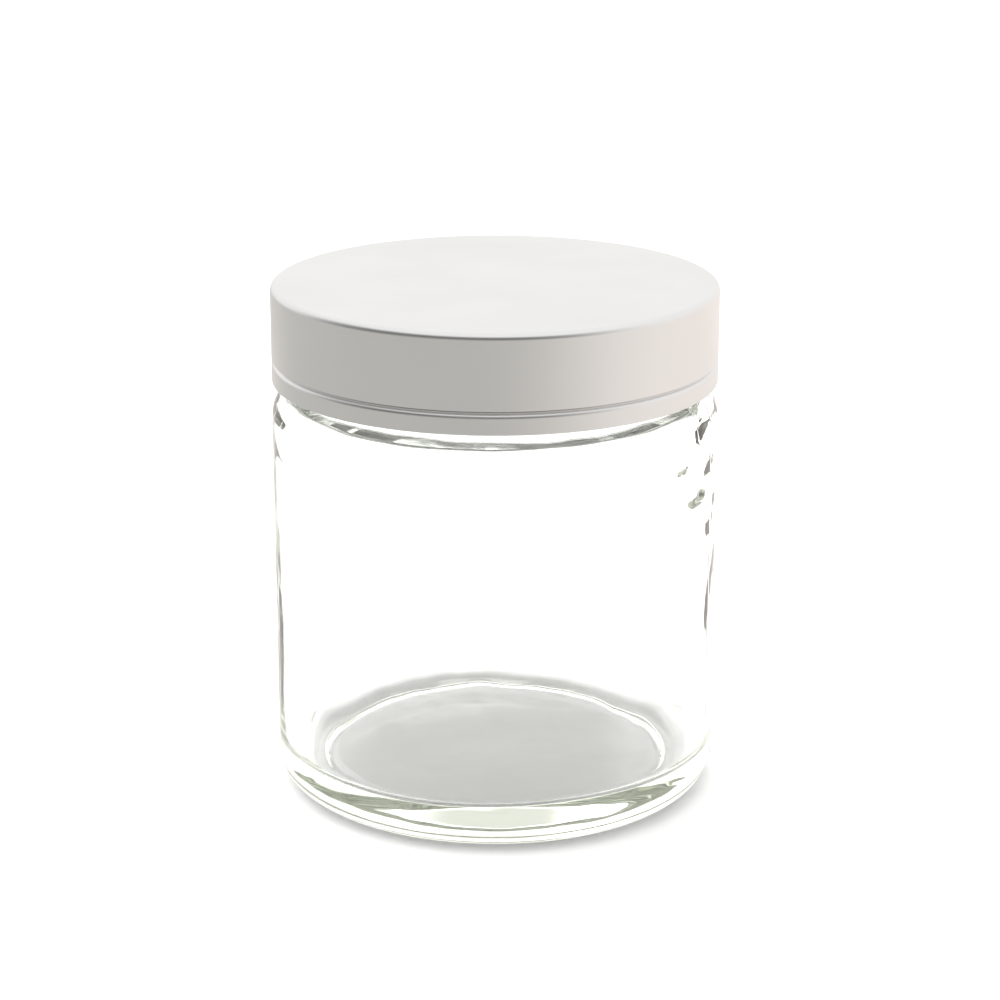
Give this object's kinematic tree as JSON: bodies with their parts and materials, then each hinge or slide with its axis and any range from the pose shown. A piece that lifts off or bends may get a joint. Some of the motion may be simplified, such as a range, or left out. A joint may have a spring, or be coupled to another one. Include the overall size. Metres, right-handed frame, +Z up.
{
  "type": "screw-lid candle jar",
  "caption": "Empty clear glass straight-sided candle jar with a threaded neck, closed by a low silver metal-shelled screw lid with a foam liner.",
  "frame": {"origin": "centre of the round base, on the surface the jar stands on", "axes": "+Z up along the jar's axis towards the lid, +X and +Y across the round base"},
  "size_m": [0.0738, 0.0738, 0.0858],
  "materials": {
    "clear_glass": "clear moulded glass with a faint green tint",
    "satin_aluminium": "satin anodised",
    "white_polypropylene": "moulded semi-matt",
    "foam_liner": "closed-cell foam"
  },
  "bodies": {
    "jar": {"glass_jar": "clear_glass"},
    "liner": {"liner": "foam_liner"},
    "lid": {"lid_shell": "satin_aluminium", "inner_cap": "white_polypropylene"}
  },
  "joints": [
    {"name": "lid_lift", "type": "slide", "parent": "jar", "child": "liner", "axis": [0, 0, 1], "range_m": [0, 0.01525]},
    {"name": "lid_turn", "type": "hinge", "parent": "liner", "child": "lid", "pos_m": [0, 0, 0.0729], "axis": [0, 0, 1], "range_deg": [0, 1080]}
  ],
  "couplings": [
    {"joint": "lid_lift", "follows": "lid_turn", "m_per_rad": 0.00080851}
  ]
}
